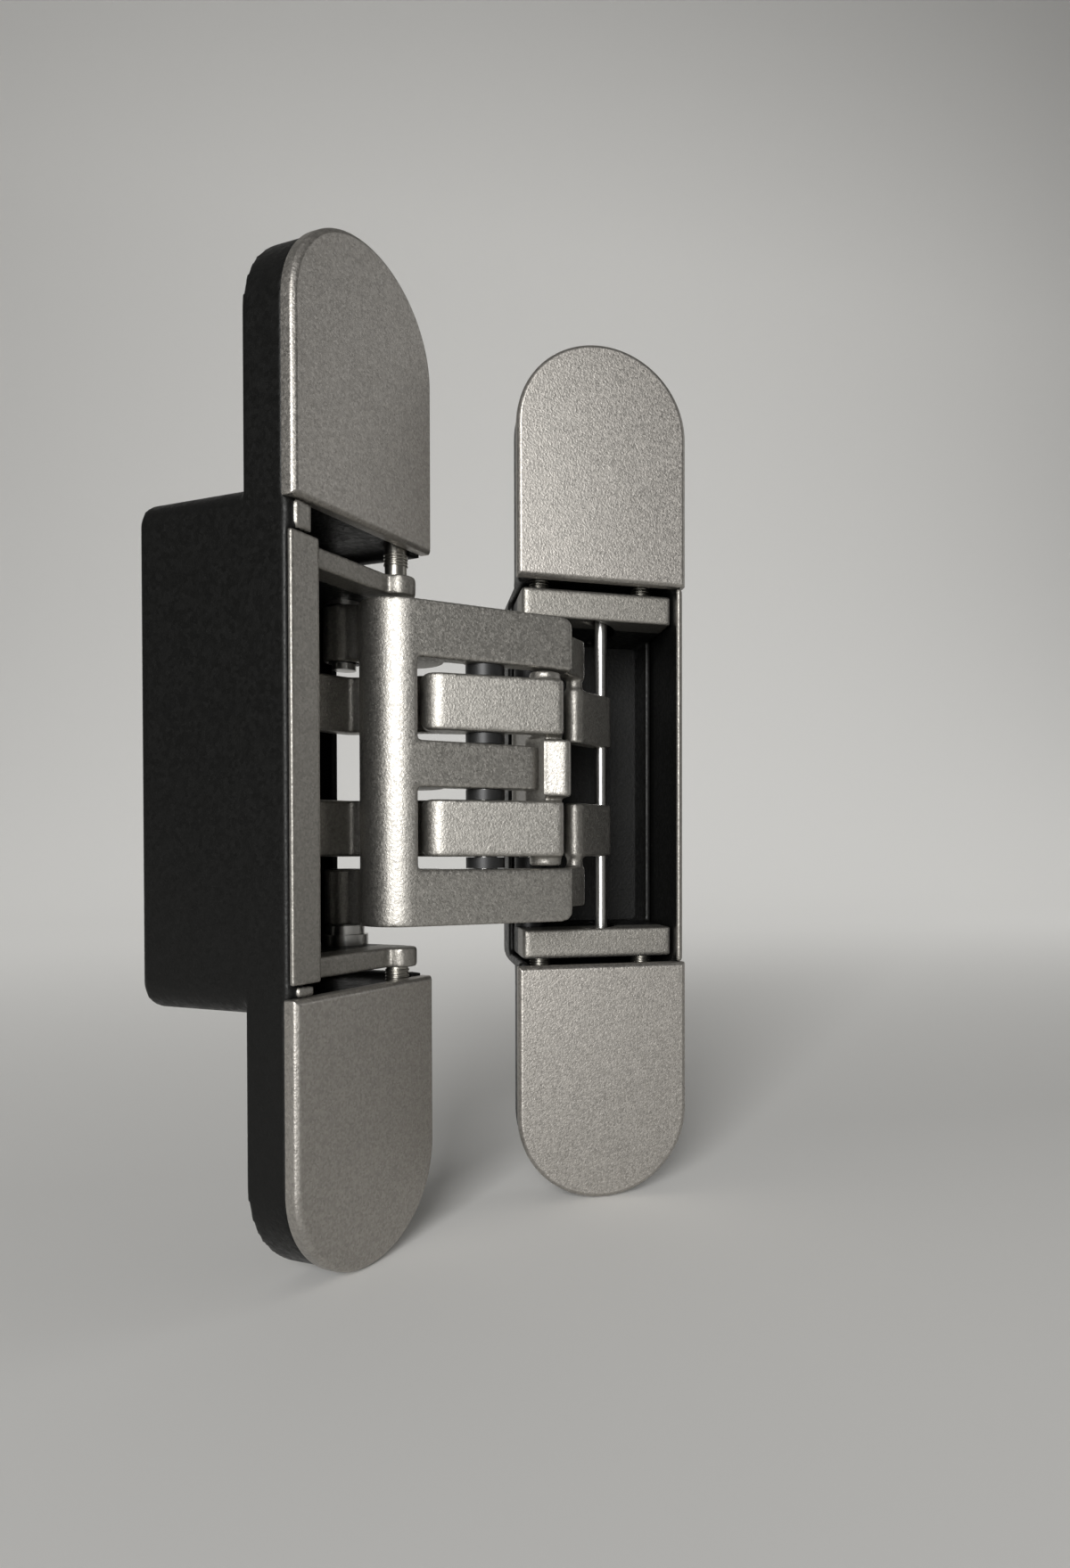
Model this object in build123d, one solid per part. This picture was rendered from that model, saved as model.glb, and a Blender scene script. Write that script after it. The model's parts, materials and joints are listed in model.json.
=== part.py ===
"""Concealed door hinge: two mortise bodies joined by a pair of crossed arms.

Millimetres, +Z up.  +X runs along the frame side's face, away from the edge next
to the door side, and +Y runs into the mortise.  Pieces are drawn with Y zero at
that face and written with Y zero at the back of the fixing flanges, which is the
plane that the frame side seats on.  The hinge is drawn open at REST_OPENING.

Points on a body are also given as face points: complex numbers whose real part
is the distance from the edge next to the other body and whose imaginary part
is the height out of the face.  Both bodies use the same face points.
"""

import cmath
import os
from math import atan2, copysign, cos, degrees, radians, sin, tan

from build123d import *

# Overall sizes
BODY_WIDTH = 32.0
BODY_LENGTH = 160.0
COVER_GAP = 72.0
COVER_THICKNESS = 2.5
COVER_BEVEL = 0.6

# Linkage
REST_OPENING = 128.0
FULL_OPENING = 160.0
CLOSED_GAP = 5.0
PIVOT_INSET = 4.0
PIVOT_DEPTH = 15.5
CROSSING_INSET = 20.0
ARM_TURN_SHARE = 0.525

# Arm levels, as heights above and below the middle
DOOR_ARM_TOP = 27.25
OUTER_FINGER_LOW = 17.7
MIDDLE_FINGER_TOP = 3.9
FRAME_FINGER_LOW = 5.85
FRAME_FINGER_TOP = 15.6
COLLAR_TOP = 17.2
LUG_LOW = 5.6
LUG_TOP = 15.6

# Door arm in plan, measured along the arm and back from the centre pin
DOOR_ARM_SLANT = 13.9
DOOR_ARM_FACE = 3.7
DOOR_ARM_THICKNESS = 4.3
DOOR_ARM_TIP = 15.3
DOOR_ARM_TIP_ROUND = 1.0
DOOR_ARM_CORNER = 2.4
BEND_START = -13.5
BEND_RADIUS = 7.0
BEND_SHELL = 2.5
BEND_SHELL_END = 20.0
SLOT_START = -12.7
MIDDLE_FINGER_END = 9.2
LUG_POST = (18.9, 4.5)
LUG_POST_RADIUS = 1.5
DOOR_SLIDE_ROD = (26.55, 9.1)

# Frame arm in plan, measured the same way
FRAME_ARM_SLANT = 3.5
FRAME_ARM_FACE = 4.2
FRAME_ARM_THICKNESS = 3.6
FRAME_ARM_LEFT = -11.1
FRAME_ARM_RIGHT = 13.4
FRAME_FINGER_CORNER = 1.6
FRAME_ARM_POST = (10.3, 14.6)
POST_ROUND = 1.2
POST_TOP = 5.0
POST_GROOVE_DEPTH = 3.0
TAIL_POINTS = [(-9.5, 1.8), (-15.7, 5.2), (-22.4, 8.6)]
FRAME_SLIDE_ROD = (-30.1, 3.6)

# Arm sections
CENTRE_BOSS = 3.7
PIVOT_KNUCKLE = 3.4
LEG_HALF_WIDTH = 2.8
LUG_HALF_WIDTH = 1.9
ROD_KNUCKLE = 1.9
SLOT_CLEARANCE = 1.1

# Pins, bushes and rods
PIN_RADIUS = 2.0
BUSH_WALL = 0.5
RUNNING_CLEARANCE = 0.05
ROD_RADIUS = 1.2
GROOVE_CLEARANCE = 0.3
ROD_END_GAP = 0.4
ARM_SIDE_GAP = 0.2
SLEEVE_WALL = 0.9
WASHER_WALL = 1.2
SPACER_WALL = 1.8
SPACER_HEIGHT = 1.8
CENTRE_WASHER_WALL = 1.3

# Housings
HOUSING_INSET = 0.4
HOUSING_WALL = 1.2
HOUSING_DEPTH = 31.0
BACK_WALL = 1.5
END_WALL = 2.0
CAVITY_HALF = 37.0
CASE_CORNER = 4.0
CAVITY_CORNER = 3.0
CASE_BACK_BEVEL = 0.8
FLANGE_DEPTH = 10.0
FRAME_RIM_RECESS = 0.6
DOOR_RIM_RECESS = 2.0
SIDE_OPENING_HALF = 35.4
SIDE_OPENING_DEPTH = 20.0
END_POST_WIDTH = 2.6
END_POST_DEPTH = 12.0
END_POST_GAP = 0.3

# Carriers
BAR_LOW = 29.5
FRAME_BAR_TOP = 35.0
DOOR_BAR_TOP = 32.8
DOOR_CARRIER_DROP = 1.3
BAR_RECESS = 4.0
BAR_INSET = 1.3
BAR_END_ROUND = 1.0
CARRIER_SIDE_GAP = 0.4
FRAME_CARRIER_WALL = 1.2
FRAME_CARRIER_WALL_RECESS = 20.0
DOOR_CARRIER_WALL = 4.2
DOOR_CARRIER_WALL_RECESS = 1.0
DOOR_WALL_LIP_GAP = 0.2
DOOR_BAR_BOSS_DEPTH = 3.6
DOOR_BAR_BOSS_RADIUS = 2.6
GROOVE_DEPTH = 2.6

# Fasteners and their holes
FIXING_OFFSETS = (52.0, 68.0)
FIXING_RADIUS = 2.25
FIXING_HEAD_RADIUS = 4.3
PEG_POSITION = (10.5, 60.0)
PEG_RADIUS = 1.5
PEG_LENGTH = 4.0
ADJUSTER_OFFSET = 43.0
ADJUSTER_RADIUS = 3.0
ADJUSTER_LENGTH = 6.0
ADJUSTER_RECESS = 0.8
SLOT_WIDTH = 1.0
SLOT_DEPTH = 1.2
HEIGHT_SCREW_RADIUS = 1.8
HEIGHT_SCREW_GRIP = 1.4
HEIGHT_SCREW_DEPTH = 8.0
FAR_SCREW_INSET = 7.0
FRAME_NEAR_SCREW_INSET = 5.0
DOOR_NEAR_SCREW_INSET = 4.2
DOOR_NEAR_SCREW_DEPTH = 4.4


# Linkage worked out from the sizes above
def turned(point, angle):
    """Face point turned about zero by an angle in degrees."""
    return point * cmath.exp(1j * radians(angle))


def crossing_at(opening):
    """Face point of the centre pin at a door opening in degrees."""
    closed_arm = CROSSING_INSET + 1j * CLOSED_GAP / 2 - PIVOT
    return PIVOT + turned(closed_arm, ARM_TURN_SHARE * opening)


def world(point):
    """World X and Y of a face point on the frame side."""
    return Vector(point.real - BODY_WIDTH / 2, -point.imag)


def face(vector):
    """Face point on the frame side of a world position."""
    return complex(vector.X + BODY_WIDTH / 2, -vector.Y)


PIVOT = PIVOT_INSET - 1j * PIVOT_DEPTH
REST_CROSSING = crossing_at(REST_OPENING)
HALF_OPENING = radians(REST_OPENING / 2)
CORNER = world(complex(REST_CROSSING.real - REST_CROSSING.imag / tan(HALF_OPENING), 0))
MIRROR_NORMAL = Vector(sin(HALF_OPENING), cos(HALF_OPENING), 0)
MIRROR = Plane(origin=(CORNER.X, CORNER.Y, 0), z_dir=MIRROR_NORMAL)
CENTRE = world(REST_CROSSING)


def mirrored(vector):
    """World position on the other side of the bisecting plane."""
    offset = (vector - CORNER).dot(MIRROR_NORMAL)
    return vector - MIRROR_NORMAL * 2 * offset


def door_side(shape):
    """Move a piece drawn on the frame side to the door side."""
    return mirror(shape, about=MIRROR)


FRAME_PIVOT = world(PIVOT)
DOOR_PIVOT = mirrored(FRAME_PIVOT)


def from_arm(point, slant):
    """World position of a point measured along an arm and back from its pin."""
    return CENTRE + Vector(*point).rotate(Axis.Z, slant)


def on_arm(vector, slant):
    """Arm point of a world position."""
    local = (vector - CENTRE).rotate(Axis.Z, -slant)
    return (local.X, local.Y)


def slide_path(rest_point, steps=8):
    """World positions that a slide rod passes through, from closed to full opening."""
    reach = face(rest_point) - REST_CROSSING
    path = []
    for step in range(steps + 1):
        opening = FULL_OPENING * step / steps
        turn = (1 - ARM_TURN_SHARE) * (opening - REST_OPENING)
        path.append(world(crossing_at(opening) + turned(reach, turn)))
    return path


# Drawing helpers
def disc(point, radius):
    """Round plan outline at a point."""
    return Pos(point[0], point[1]) * Circle(radius)


def block(left, right, front, back):
    """Rectangular plan outline between four limits."""
    return Pos((left + right) / 2, (front + back) / 2) * Rectangle(right - left, back - front)


def limb(start, end, half_width):
    """Round-ended plan outline between two points."""
    run, rise = end[0] - start[0], end[1] - start[1]
    middle = Pos((start[0] + end[0]) / 2, (start[1] + end[1]) / 2)
    length = abs(complex(run, rise))
    bar = middle * Rot(0, 0, degrees(atan2(rise, run))) * Rectangle(length, 2 * half_width)
    return bar + disc(start, half_width) + disc(end, half_width)


def raised(outline, low, high):
    """Solid that stands on a plan outline between two heights."""
    return Pos(0, 0, low) * extrude(outline, amount=high - low, dir=(0, 0, 1))


def both_levels(outline, low, high):
    """The same solid above and below the middle."""
    return raised(outline, low, high) + raised(outline, -high, -low)


def rounded_front(span, low, high, corner):
    """Deep block with rounded corners as seen from the front, to trim an arm with."""
    middle = Pos((span[0] + span[1]) / 2, (low + high) / 2)
    front = RectangleRounded(span[1] - span[0], high - low, corner)
    return inward(middle * front, -BODY_WIDTH, BODY_WIDTH)


def rod(point, radius, low, high):
    """Upright round bar between two heights."""
    return raised(disc(point, radius), low, high)


def box_between(x_limits, y_limits, z_limits):
    """Box between limits along the three axes."""
    outline = block(x_limits[0], x_limits[1], y_limits[0], y_limits[1])
    return raised(outline, z_limits[0], z_limits[1])


def inward(outline, near, far):
    """Solid that stands on a face outline, from one depth to a deeper one."""
    return Plane.XZ * Pos(0, 0, -far) * extrude(outline, amount=far - near, dir=(0, 0, 1))


def seated(shape, slant):
    """Move an arm piece from its own plan to its place in the hinge."""
    return Pos(CENTRE.X, CENTRE.Y, 0) * Rot(0, 0, slant) * shape


# Arms
def make_door_arm():
    """Three-fingered arm with a broad round bend, a leg and two slide lugs."""
    pivot = on_arm(DOOR_PIVOT, DOOR_ARM_SLANT)
    face_line = -DOOR_ARM_FACE
    back_line = face_line + DOOR_ARM_THICKNESS
    bend = (BEND_START, face_line + BEND_RADIUS)
    heel = disc(bend, BEND_RADIUS)
    boss = disc((0, 0), CENTRE_BOSS)

    tip_centre = (DOOR_ARM_TIP - DOOR_ARM_TIP_ROUND, face_line + DOOR_ARM_TIP_ROUND)
    plate = block(BEND_START, tip_centre[0], face_line, back_line)
    plate += disc(tip_centre, DOOR_ARM_TIP_ROUND)
    plate += block(tip_centre[0], DOOR_ARM_TIP, tip_centre[1], back_line)
    plate_span = (BEND_START - BEND_RADIUS, DOOR_ARM_TIP)
    arm = both_levels(plate, OUTER_FINGER_LOW, DOOR_ARM_TOP)
    arm &= rounded_front(plate_span, -DOOR_ARM_TOP, DOOR_ARM_TOP, DOOR_ARM_CORNER)
    neck = limb((DOOR_ARM_TIP - LUG_HALF_WIDTH, 0), LUG_POST, LUG_HALF_WIDTH)
    leg = limb(bend, pivot, LEG_HALF_WIDTH) + disc(pivot, PIVOT_KNUCKLE)
    arm += both_levels(heel + boss + leg, OUTER_FINGER_LOW, DOOR_ARM_TOP)
    neck_top = DOOR_ARM_TOP - DOOR_ARM_CORNER
    arm += both_levels(neck, OUTER_FINGER_LOW, neck_top)

    short_plate = block(BEND_START, MIDDLE_FINGER_END - DOOR_ARM_THICKNESS / 2, face_line, back_line)
    short_plate += disc((MIDDLE_FINGER_END - DOOR_ARM_THICKNESS / 2, (face_line + back_line) / 2),
                        DOOR_ARM_THICKNESS / 2)
    arm += raised(short_plate + heel + boss, -MIDDLE_FINGER_TOP, MIDDLE_FINGER_TOP)

    reach = 2 * BEND_RADIUS
    drop = reach * tan(radians(BEND_SHELL_END))
    shell_limits = Polygon(
        bend,
        (SLOT_START, bend[1]),
        (SLOT_START, bend[1] - reach),
        (bend[0] - reach, bend[1] - reach),
        (bend[0] - reach, bend[1] + drop),
        align=None,
    )
    shell = (heel - disc(bend, BEND_RADIUS - BEND_SHELL)) & shell_limits
    shell += block(BEND_START, SLOT_START, face_line, face_line + BEND_SHELL)
    arm += raised(shell, -DOOR_ARM_TOP, DOOR_ARM_TOP)

    arm += both_levels(disc(LUG_POST, LUG_POST_RADIUS), LUG_LOW, neck_top)
    lug = limb(LUG_POST, DOOR_SLIDE_ROD, LUG_HALF_WIDTH) + disc(DOOR_SLIDE_ROD, ROD_KNUCKLE)
    arm += both_levels(lug, LUG_LOW, LUG_TOP)

    arm -= rod((0, 0), PIN_RADIUS, -DOOR_ARM_TOP, DOOR_ARM_TOP)
    arm -= rod(pivot, PIN_RADIUS + RUNNING_CLEARANCE + BUSH_WALL, -DOOR_ARM_TOP, DOOR_ARM_TOP)
    arm -= rod(DOOR_SLIDE_ROD, ROD_RADIUS, -DOOR_ARM_TOP, DOOR_ARM_TOP)
    return seated(arm, DOOR_ARM_SLANT)


def make_frame_arm():
    """Two-fingered arm that crosses the door arm, with a leg and a slide tail."""
    pivot = on_arm(FRAME_PIVOT, FRAME_ARM_SLANT)
    face_line = -FRAME_ARM_FACE
    half = FRAME_ARM_THICKNESS / 2
    back_line = face_line + FRAME_ARM_THICKNESS
    shoulder = (FRAME_ARM_RIGHT - LEG_HALF_WIDTH, face_line + half)
    end_centre = (FRAME_ARM_LEFT + FRAME_ARM_THICKNESS, back_line)
    rounded_end = disc(end_centre, FRAME_ARM_THICKNESS)
    rounded_end &= block(FRAME_ARM_LEFT, end_centre[0], face_line, back_line)
    front = rounded_end + block(end_centre[0], FRAME_ARM_RIGHT - half, face_line, back_line)
    front += disc((FRAME_ARM_RIGHT - half, face_line + half), half)

    leg = limb(shoulder, pivot, LEG_HALF_WIDTH) + disc(pivot, PIVOT_KNUCKLE)
    leg &= block(-BODY_WIDTH, BODY_WIDTH, face_line, BODY_LENGTH)
    finger_span = (FRAME_ARM_LEFT, FRAME_ARM_RIGHT + FRAME_FINGER_CORNER)
    trim = rounded_front(finger_span, FRAME_FINGER_LOW, FRAME_FINGER_TOP, FRAME_FINGER_CORNER)
    trim += rounded_front(finger_span, -FRAME_FINGER_TOP, -FRAME_FINGER_LOW, FRAME_FINGER_CORNER)
    arm = both_levels(front, FRAME_FINGER_LOW, FRAME_FINGER_TOP) & trim
    finger = disc((0, 0), CENTRE_BOSS) + leg
    joints = [(0, 0)] + TAIL_POINTS + [FRAME_SLIDE_ROD]
    for start, end in zip(joints, joints[1:]):
        finger += limb(start, end, LUG_HALF_WIDTH)
    finger += disc(FRAME_SLIDE_ROD, ROD_KNUCKLE)
    arm += both_levels(finger, FRAME_FINGER_LOW, FRAME_FINGER_TOP)

    post_round = FRAME_ARM_POST[1] - POST_ROUND
    post = block(FRAME_ARM_POST[0], post_round, face_line, back_line)
    post += limb((post_round, face_line + POST_ROUND), (post_round, back_line), POST_ROUND)
    swept = disc((0, 0), MIDDLE_FINGER_END + SLOT_CLEARANCE)
    joining = (leg - swept) & block(-BODY_WIDTH, BODY_WIDTH, face_line + POST_GROOVE_DEPTH, BODY_LENGTH)
    arm += raised(joining, -FRAME_FINGER_LOW, FRAME_FINGER_LOW)
    arm += raised(post + (leg - swept), -POST_TOP, POST_TOP)
    collar = disc((shoulder[0], 0), LEG_HALF_WIDTH)
    arm += both_levels(collar, FRAME_FINGER_TOP, COLLAR_TOP)

    bush = PIN_RADIUS + RUNNING_CLEARANCE + BUSH_WALL
    arm -= rod((0, 0), bush, -FRAME_FINGER_TOP, FRAME_FINGER_TOP)
    arm -= rod(pivot, bush, -FRAME_FINGER_TOP, FRAME_FINGER_TOP)
    arm -= rod(FRAME_SLIDE_ROD, ROD_RADIUS, -FRAME_FINGER_TOP, FRAME_FINGER_TOP)
    return seated(arm, FRAME_ARM_SLANT)


def ring(point, bore, wall):
    """Round plan outline with a hole."""
    return disc(point, bore + wall) - disc(point, bore)


def make_bushes(point, low, high):
    """Pair of plain bushes, above and below the middle."""
    return both_levels(ring(point, PIN_RADIUS + RUNNING_CLEARANCE, BUSH_WALL), low, high)


def make_centre_washers():
    """Four washers on the centre pin, one in each gap between fingers."""
    outline = ring((CENTRE.X, CENTRE.Y), PIN_RADIUS + RUNNING_CLEARANCE, CENTRE_WASHER_WALL)
    play = ARM_SIDE_GAP / 2
    outer = both_levels(outline, FRAME_FINGER_TOP + play, OUTER_FINGER_LOW - play)
    inner = both_levels(outline, MIDDLE_FINGER_TOP + play, FRAME_FINGER_LOW - play)
    return outer + inner


# Bodies, drawn on the frame side
INNER_X = BODY_WIDTH / 2 - HOUSING_INSET - HOUSING_WALL
CARRIER_X = INNER_X - CARRIER_SIDE_GAP
FRAME_BAR_ENDS = (-FRAME_BAR_TOP, FRAME_BAR_TOP)
DOOR_BAR_ENDS = (-DOOR_BAR_TOP - DOOR_CARRIER_DROP, DOOR_BAR_TOP - DOOR_CARRIER_DROP)
FAR_SCREW = BODY_WIDTH - FAR_SCREW_INSET - 1j * HEIGHT_SCREW_DEPTH
FRAME_HEIGHT_SCREWS = (FRAME_NEAR_SCREW_INSET - 1j * HEIGHT_SCREW_DEPTH, FAR_SCREW)
DOOR_HEIGHT_SCREWS = (DOOR_NEAR_SCREW_INSET - 1j * DOOR_NEAR_SCREW_DEPTH, FAR_SCREW)
DOOR_BAR_BOSS = DOOR_NEAR_SCREW_INSET - 1j * DOOR_BAR_BOSS_DEPTH


def dropped(shape):
    """Piece moved down with the door side's carrier."""
    return Pos(0, 0, -DOOR_CARRIER_DROP) * shape


def stadium(width, length):
    """Face outline with full round ends, long side upright."""
    return SlotOverall(length, width, rotation=90)


def make_housing(rim_recess, bar_ends, screws):
    """Mortise case with a deep middle and two shallow fixing flanges."""
    outer_x = BODY_WIDTH / 2 - HOUSING_INSET
    outline = stadium(2 * outer_x, BODY_LENGTH - 2 * HOUSING_INSET)
    case = inward(outline, COVER_THICKNESS, FLANGE_DEPTH)
    end = CAVITY_HALF + END_WALL
    deep_outline = RectangleRounded(2 * outer_x, 2 * end, CASE_CORNER)
    deep_case = inward(deep_outline, COVER_THICKNESS, HOUSING_DEPTH)
    case += chamfer(deep_case.faces().sort_by(Axis.Y)[-1].edges(), CASE_BACK_BEVEL)
    rim_half = COVER_GAP / 2
    case += box_between((INNER_X, outer_x), (rim_recess, FLANGE_DEPTH), (-rim_half, rim_half))
    cavity = RectangleRounded(2 * INNER_X, 2 * CAVITY_HALF, CAVITY_CORNER)
    case -= inward(cavity, -1, HOUSING_DEPTH - BACK_WALL)
    case -= box_between((-BODY_WIDTH, 0), (-1, SIDE_OPENING_DEPTH), (-SIDE_OPENING_HALF, SIDE_OPENING_HALF))
    for side, bar_end in zip((-1, 1), bar_ends):
        for offset in FIXING_OFFSETS:
            hole = Pos(0, side * offset)
            case -= inward(hole * Circle(FIXING_RADIUS), 0, FLANGE_DEPTH)
            sink_depth = FIXING_HEAD_RADIUS - FIXING_RADIUS
            sink = Cone(FIXING_HEAD_RADIUS, FIXING_RADIUS, sink_depth,
                        align=(Align.CENTER, Align.CENTER, Align.MIN))
            case -= Pos(0, COVER_THICKNESS, side * offset) * Rot(-90, 0, 0) * sink
        for x in (-PEG_POSITION[0], PEG_POSITION[0]):
            peg = Pos(x, side * PEG_POSITION[1]) * Circle(PEG_RADIUS)
            case -= inward(peg, COVER_THICKNESS, COVER_THICKNESS + PEG_LENGTH)
        seat = Pos(0, side * ADJUSTER_OFFSET) * Circle(ADJUSTER_RADIUS)
        case -= inward(seat, COVER_THICKNESS, COVER_THICKNESS + ADJUSTER_RECESS + ADJUSTER_LENGTH)
        case -= make_height_screws(screws, bar_end)
    return case


def make_door_housing():
    """Housing whose far side wall is thicker above and below the carrier."""
    case = make_housing(DOOR_RIM_RECESS, DOOR_BAR_ENDS, DOOR_HEIGHT_SCREWS)
    x_limits = (CARRIER_X - END_POST_WIDTH, INNER_X)
    y_limits = (DOOR_CARRIER_WALL_RECESS, END_POST_DEPTH)
    lower, upper = DOOR_BAR_ENDS
    end = COVER_GAP / 2
    case += box_between(x_limits, y_limits, (-end, lower - END_POST_GAP))
    case += box_between(x_limits, y_limits, (upper + END_POST_GAP, end))
    return case


def make_height_screws(places, bar_end):
    """Two upright screws between a carrier bar and the end wall of its housing."""
    side = copysign(1, bar_end)
    low, high = sorted([bar_end - side * HEIGHT_SCREW_GRIP, side * (CAVITY_HALF + HEIGHT_SCREW_GRIP)])
    first, second = [world(place) for place in places]
    outline = disc((first.X, first.Y), HEIGHT_SCREW_RADIUS) + disc((second.X, second.Y), HEIGHT_SCREW_RADIUS)
    return raised(outline, low, high)


def make_carrier(bar_top, wall, wall_recess, rod_path, bosses=()):
    """Frame of two bars and a side wall that holds the pivots and slide grooves."""
    back = HOUSING_DEPTH - BACK_WALL
    left = BAR_INSET - BODY_WIDTH / 2
    opening_end = SIDE_OPENING_DEPTH - CARRIER_SIDE_GAP
    bar = block(left + BAR_END_ROUND, CARRIER_X, BAR_RECESS, opening_end)
    bar += block(left, CARRIER_X, BAR_RECESS + BAR_END_ROUND, opening_end)
    bar += block(-CARRIER_X, CARRIER_X, BAR_RECESS + BAR_END_ROUND, back)
    bar += disc((left + BAR_END_ROUND, BAR_RECESS + BAR_END_ROUND), BAR_END_ROUND)
    for boss in bosses:
        centre = world(boss)
        bar += disc((centre.X, centre.Y), DOOR_BAR_BOSS_RADIUS)
    carrier = both_levels(bar, BAR_LOW, bar_top)
    carrier += box_between((CARRIER_X - wall, CARRIER_X), (wall_recess, back), (-bar_top, bar_top))

    points = [(point.X, point.Y) for point in rod_path]
    groove_radius = ROD_RADIUS + GROOVE_CLEARANCE
    groove = disc(points[0], groove_radius)
    for start, end in zip(points, points[1:]):
        groove += limb(start, end, groove_radius)
    carrier -= both_levels(groove, BAR_LOW, BAR_LOW + GROOVE_DEPTH)
    pivot = (FRAME_PIVOT.X, FRAME_PIVOT.Y)
    carrier -= both_levels(disc(pivot, PIN_RADIUS), BAR_LOW, BAR_LOW + GROOVE_DEPTH)
    return carrier


def make_frame_carrier(rod_path):
    """Carrier with a thin side wall, level with the middle of its housing."""
    carrier = make_carrier(FRAME_BAR_TOP, FRAME_CARRIER_WALL, FRAME_CARRIER_WALL_RECESS, rod_path)
    for bar_end in FRAME_BAR_ENDS:
        carrier -= make_height_screws(FRAME_HEIGHT_SCREWS, bar_end)
    return carrier


def make_door_carrier(rod_path):
    """Carrier set low in its housing, with a thick side wall that laps over the housing's rim."""
    carrier = make_carrier(DOOR_BAR_TOP, DOOR_CARRIER_WALL, DOOR_CARRIER_WALL_RECESS, rod_path,
                           [DOOR_BAR_BOSS])
    lip_back = DOOR_RIM_RECESS - DOOR_WALL_LIP_GAP
    carrier += box_between((CARRIER_X, BODY_WIDTH / 2 - HOUSING_INSET), (DOOR_CARRIER_WALL_RECESS, lip_back),
                           (-DOOR_BAR_TOP, DOOR_BAR_TOP))
    carrier = dropped(carrier)
    for bar_end in DOOR_BAR_ENDS:
        carrier -= make_height_screws(DOOR_HEIGHT_SCREWS, bar_end)
    return carrier


def make_cover(side):
    """Bevelled cap over one end of a body, with two pegs."""
    plate = inward(stadium(BODY_WIDTH, BODY_LENGTH), 0, COVER_THICKNESS)
    ends = sorted([side * COVER_GAP / 2, side * BODY_LENGTH])
    plate &= box_between((-BODY_WIDTH, BODY_WIDTH), (-1, HOUSING_DEPTH), ends)
    front = plate.faces().sort_by(Axis.Y)[0]
    plate = chamfer(front.edges(), COVER_BEVEL)
    for x in (-PEG_POSITION[0], PEG_POSITION[0]):
        peg = Pos(x, side * PEG_POSITION[1]) * Circle(PEG_RADIUS)
        plate += inward(peg, COVER_THICKNESS, COVER_THICKNESS + PEG_LENGTH)
    return plate


def make_adjuster(side):
    """Slotted side adjuster in the flange under a cover."""
    near = COVER_THICKNESS + ADJUSTER_RECESS
    spot = Pos(0, side * ADJUSTER_OFFSET)
    adjuster = inward(spot * Circle(ADJUSTER_RADIUS), near, near + ADJUSTER_LENGTH)
    return adjuster - inward(spot * Rectangle(2 * ADJUSTER_RADIUS, SLOT_WIDTH), near, near + SLOT_DEPTH)


def make_pivot_pin(low):
    """Stub pins of one body's pivot, from each bar to the arm."""
    pivot = (FRAME_PIVOT.X, FRAME_PIVOT.Y)
    return both_levels(disc(pivot, PIN_RADIUS), low, BAR_LOW + GROOVE_DEPTH)


def make_pivot_sleeves():
    """Sleeves round the frame side's stub pins that fill the gaps between arm and bars."""
    outline = ring((FRAME_PIVOT.X, FRAME_PIVOT.Y), PIN_RADIUS, SLEEVE_WALL)
    return both_levels(outline, FRAME_FINGER_TOP + ARM_SIDE_GAP, BAR_LOW)


def make_pivot_washers():
    """Washers round the door side's stub pins, with a broad spacer in the deeper lower gap."""
    pivot = (FRAME_PIVOT.X, FRAME_PIVOT.Y)
    washer = ring(pivot, PIN_RADIUS, WASHER_WALL)
    spacer = ring(pivot, PIN_RADIUS, SPACER_WALL)
    near = DOOR_ARM_TOP + ARM_SIDE_GAP
    lower_bar = -BAR_LOW - DOOR_CARRIER_DROP
    spacer_top = lower_bar + SPACER_HEIGHT
    rings = raised(washer, near, BAR_LOW - DOOR_CARRIER_DROP)
    rings += raised(washer, spacer_top + RUNNING_CLEARANCE, -near)
    return rings + raised(spacer, lower_bar, spacer_top)


# Assembly
frame_rod_rest = from_arm(FRAME_SLIDE_ROD, FRAME_ARM_SLANT)
door_rod_rest = from_arm(DOOR_SLIDE_ROD, DOOR_ARM_SLANT)
rod_end = BAR_LOW + GROOVE_DEPTH - ROD_END_GAP
pieces = {
    "frame_housing": make_housing(FRAME_RIM_RECESS, FRAME_BAR_ENDS, FRAME_HEIGHT_SCREWS),
    "frame_carrier": make_frame_carrier(slide_path(door_rod_rest)),
    "frame_pivot_pins": make_pivot_pin(FRAME_FINGER_LOW + ARM_SIDE_GAP),
    "frame_pivot_sleeves": make_pivot_sleeves(),
    "door_housing": door_side(make_door_housing()),
    "door_carrier": door_side(make_door_carrier(slide_path(mirrored(frame_rod_rest)))),
    "door_pivot_pins": door_side(dropped(make_pivot_pin(OUTER_FINGER_LOW + ARM_SIDE_GAP))),
    "door_pivot_washers": door_side(make_pivot_washers()),
    "frame_arm": make_frame_arm(),
    "frame_arm_pivot_bushes": make_bushes((FRAME_PIVOT.X, FRAME_PIVOT.Y), FRAME_FINGER_LOW, FRAME_FINGER_TOP),
    "frame_arm_centre_bushes": make_bushes((CENTRE.X, CENTRE.Y), FRAME_FINGER_LOW, FRAME_FINGER_TOP),
    "frame_arm_slide_rod": dropped(rod((frame_rod_rest.X, frame_rod_rest.Y), ROD_RADIUS, -rod_end, rod_end)),
    "door_arm": make_door_arm(),
    "door_arm_pivot_bushes": make_bushes((DOOR_PIVOT.X, DOOR_PIVOT.Y), OUTER_FINGER_LOW, DOOR_ARM_TOP),
    "door_arm_slide_rod": rod((door_rod_rest.X, door_rod_rest.Y), ROD_RADIUS, -rod_end, rod_end),
    "centre_pin": rod((CENTRE.X, CENTRE.Y), PIN_RADIUS, -DOOR_ARM_TOP, DOOR_ARM_TOP),
    "centre_washers": make_centre_washers(),
}
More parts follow.
